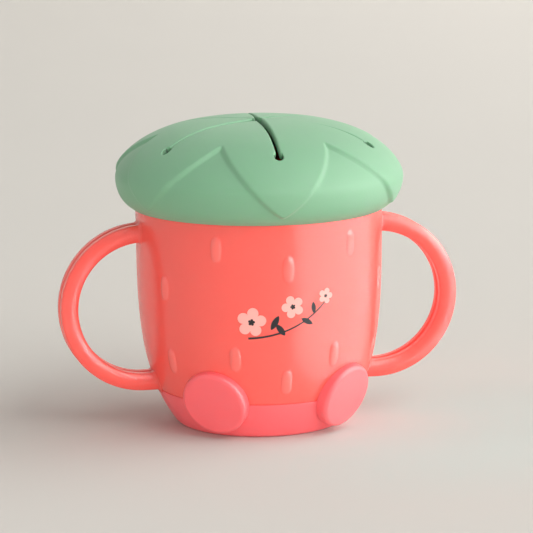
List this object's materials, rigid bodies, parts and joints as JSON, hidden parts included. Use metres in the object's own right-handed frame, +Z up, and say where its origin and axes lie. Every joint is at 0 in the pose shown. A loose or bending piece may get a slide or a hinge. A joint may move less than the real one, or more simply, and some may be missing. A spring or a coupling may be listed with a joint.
{
  "type": "toddler snack container",
  "caption": "Toddler snack cup with two round handles, raised seeds, a soft footed boot and a domed silicone leaf lid whose slit flaps let a hand in.",
  "frame": {"origin": "middle of the flat underside that the container stands on", "axes": "+Z up through the lid's centre, -Y towards the front with the two foot pads, +X along the handles towards the right of someone facing the front"},
  "size_m": [0.1412, 0.1012, 0.1065],
  "materials": {
    "cup_plastic": "satin, lightly translucent polypropylene",
    "boot_elastomer": "matte soft elastomer",
    "lid_silicone": "matte silicone"
  },
  "bodies": {
    "cup": {"cup": "cup_plastic", "handle_left": "cup_plastic", "handle_right": "cup_plastic", "base_boot": "boot_elastomer", "foot_left": "boot_elastomer", "foot_right": "boot_elastomer"},
    "lid": {"lid": "lid_silicone"},
    "flap_1": {"flap_1": "lid_silicone"},
    "flap_2": {"flap_2": "lid_silicone"},
    "flap_3": {"flap_3": "lid_silicone"},
    "flap_4": {"flap_4": "lid_silicone"},
    "flap_5": {"flap_5": "lid_silicone"},
    "flap_6": {"flap_6": "lid_silicone"}
  },
  "joints": [
    {"name": "lid_lift", "type": "slide", "parent": "cup", "child": "lid", "axis": [0, 0, 1], "range_m": [0, 0.05]},
    {"name": "flap_1_bend", "type": "hinge", "parent": "lid", "child": "flap_1", "pos_m": [0.01526, -0.03061, 0.10067], "axis": [-0.8949, -0.4462, 0], "range_deg": [-28, 60], "stiffness_Nm_per_rad": 0.02},
    {"name": "flap_2_bend", "type": "hinge", "parent": "lid", "child": "flap_2", "pos_m": [0.03414, -0.00209, 0.10067], "axis": [-0.061, -0.9981, 0], "range_deg": [-28, 60], "stiffness_Nm_per_rad": 0.02},
    {"name": "flap_3_bend", "type": "hinge", "parent": "lid", "child": "flap_3", "pos_m": [0.01888, 0.02853, 0.10067], "axis": [0.8339, -0.5519, 0], "range_deg": [-28, 60], "stiffness_Nm_per_rad": 0.02},
    {"name": "flap_4_bend", "type": "hinge", "parent": "lid", "child": "flap_4", "pos_m": [-0.01526, 0.03061, 0.10067], "axis": [0.8949, 0.4462, 0], "range_deg": [-28, 60], "stiffness_Nm_per_rad": 0.02},
    {"name": "flap_5_bend", "type": "hinge", "parent": "lid", "child": "flap_5", "pos_m": [-0.03414, 0.00209, 0.10067], "axis": [0.061, 0.9981, 0], "range_deg": [-28, 60], "stiffness_Nm_per_rad": 0.02},
    {"name": "flap_6_bend", "type": "hinge", "parent": "lid", "child": "flap_6", "pos_m": [-0.01888, -0.02853, 0.10067], "axis": [-0.8339, 0.5519, 0], "range_deg": [-28, 60], "stiffness_Nm_per_rad": 0.02}
  ]
}
